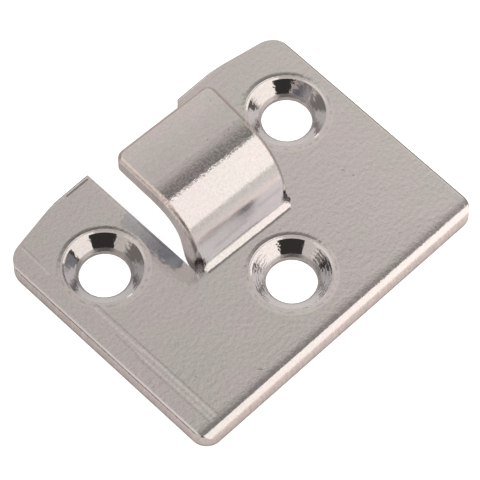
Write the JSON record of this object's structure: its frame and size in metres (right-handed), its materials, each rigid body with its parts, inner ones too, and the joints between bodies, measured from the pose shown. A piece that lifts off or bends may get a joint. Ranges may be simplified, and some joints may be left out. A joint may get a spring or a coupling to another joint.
{
  "type": "catch plate",
  "caption": "Flat pressed steel catch plate with countersunk screw holes and a hook lanced out of an open notch, for the bail of a draw latch.",
  "frame": {"origin": "middle of the mounting face, which is the flat underside, at the middle of the plate's outline", "axes": "+X along the long plain edge, +Y towards the edge that the notch opens to and the hook points to, +Z away from the surface that the plate is screwed to"},
  "size_m": [0.037, 0.0294, 0.0093],
  "materials": {
    "zinc_plated_steel": "satin zinc plating"
  },
  "bodies": {
    "root": {"catch_plate": "zinc_plated_steel"}
  },
  "joints": []
}
